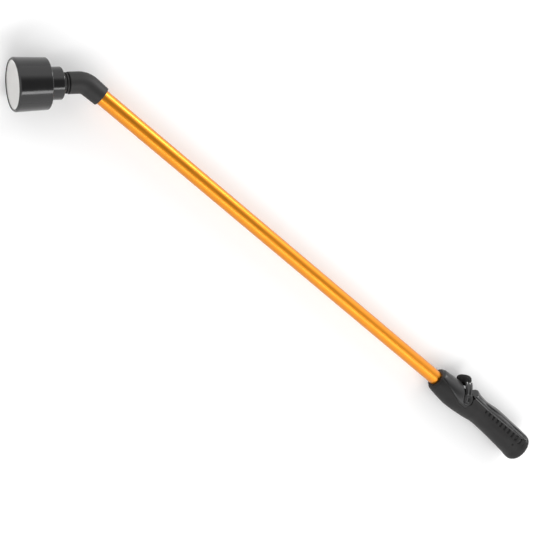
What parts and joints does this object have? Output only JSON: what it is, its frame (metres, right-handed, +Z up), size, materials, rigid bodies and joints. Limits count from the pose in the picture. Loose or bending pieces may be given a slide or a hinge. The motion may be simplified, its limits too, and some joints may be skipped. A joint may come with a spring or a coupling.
{
  "type": "watering wand",
  "caption": "Long garden watering wand: hose handle with a thumb valve lever, straight orange tube, angled elbow and a screw-on round shower breaker.",
  "frame": {"origin": "on the ground under the middle of the wand's box, with the wand lying on its right side", "axes": "+X along the tube from the hose inlet to the breaker, +Z up, +Y the side that the breaker bends to, away from the thumb lever"},
  "size_m": [0.8402, 0.1074, 0.0644],
  "materials": {
    "anodised_tube": "satin orange anodised aluminium",
    "matte_moulding": "fine-textured charcoal moulding",
    "grip_rubber": "fine-textured soft charcoal overmould",
    "satin_moulding": "smooth satin charcoal moulding",
    "gloss_moulding": "polished black moulding",
    "body_nylon": "glass-filled black nylon",
    "plug_acetal": "machined natural acetal",
    "seal_rubber": "moulded black nitrile rubber",
    "thread_brass": "machined brass",
    "spray_steel": "stainless sheet with fine drilled holes"
  },
  "bodies": {
    "wand": {"tube": "anodised_tube", "elbow": "matte_moulding", "elbow_o_ring_rear": "seal_rubber", "elbow_o_ring_front": "seal_rubber", "grip": "grip_rubber", "hood": "satin_moulding", "top_panel": "gloss_moulding", "valve_body": "body_nylon", "handle_o_ring_rear": "seal_rubber", "handle_o_ring_front": "seal_rubber", "plug_retainer": "body_nylon", "plug_seat_rear": "seal_rubber", "plug_seat_front": "seal_rubber", "inlet_insert": "thread_brass", "inlet_washer": "seal_rubber"},
    "lever": {"thumb_lever": "gloss_moulding", "lever_pad": "grip_rubber", "valve_plug": "plug_acetal", "stem_o_ring_left": "seal_rubber", "stem_o_ring_right": "seal_rubber"},
    "head_washer": {"breaker_washer": "seal_rubber"},
    "breaker": {"breaker_cup": "gloss_moulding", "flow_diffuser": "body_nylon", "face_plate": "spray_steel", "face_ring": "gloss_moulding"}
  },
  "joints": [
    {"name": "lever_tilt", "type": "hinge", "parent": "wand", "child": "lever", "pos_m": [-0.30257, -0.02258, 0.0203], "axis": [0.0034, 0.2147, -0.9767], "range_deg": [0, 40]},
    {"name": "breaker_lift", "type": "slide", "parent": "wand", "child": "head_washer", "axis": [0.7426, 0.6535, 0.1463], "range_m": [0, 0.00884]},
    {"name": "breaker_turn", "type": "hinge", "parent": "head_washer", "child": "breaker", "pos_m": [0.37163, 0.00605, 0.02895], "axis": [0.7426, 0.6535, 0.1463], "range_deg": [0, 1440]}
  ],
  "couplings": [
    {"joint": "breaker_lift", "follows": "breaker_turn", "m_per_rad": 0.00035157}
  ]
}
